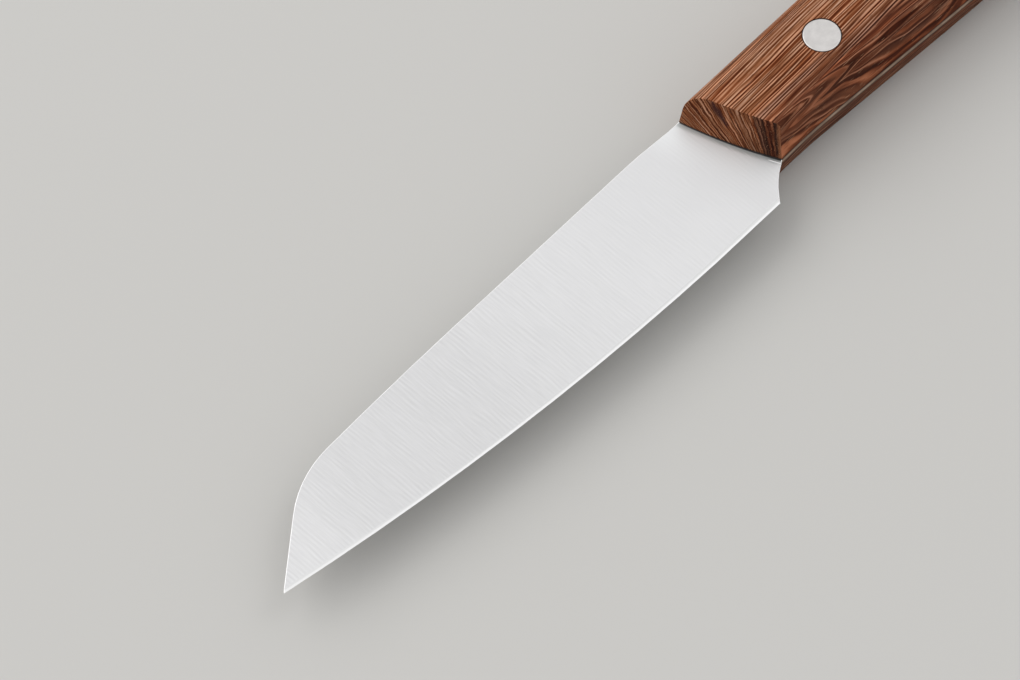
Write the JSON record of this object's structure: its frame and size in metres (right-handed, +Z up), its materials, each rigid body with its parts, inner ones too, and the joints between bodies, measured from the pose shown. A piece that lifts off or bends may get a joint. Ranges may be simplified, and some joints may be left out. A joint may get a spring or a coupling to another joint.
{
  "type": "paring knife",
  "caption": "Small full-tang kitchen knife with a straight spine clipped down to a sharp tip, a gently curved edge and a riveted wooden grip.",
  "frame": {"origin": "on the flat underside of the grip (outer face of the right scale), 36 mm behind the grip's front corner at the spine and 9.6 mm in from the spine", "axes": "+X along the spine to the tip, +Y from the spine to the cutting edge, +Z up through the left side, with the knife lying on its right side"},
  "size_m": [0.2067, 0.0215, 0.0151],
  "materials": {
    "blade_steel": "satin, ground across the blade",
    "handle_wood": "bare sanded red-brown hardwood with dark growth lines",
    "rivet_steel": "ground flush and finely polished"
  },
  "bodies": {
    "root": {"blade": "blade_steel", "left_scale": "handle_wood", "right_scale": "handle_wood", "front_rivet_stud": "rivet_steel", "front_rivet_socket": "rivet_steel", "middle_rivet_stud": "rivet_steel", "middle_rivet_socket": "rivet_steel", "rear_rivet_stud": "rivet_steel", "rear_rivet_socket": "rivet_steel"}
  },
  "joints": []
}
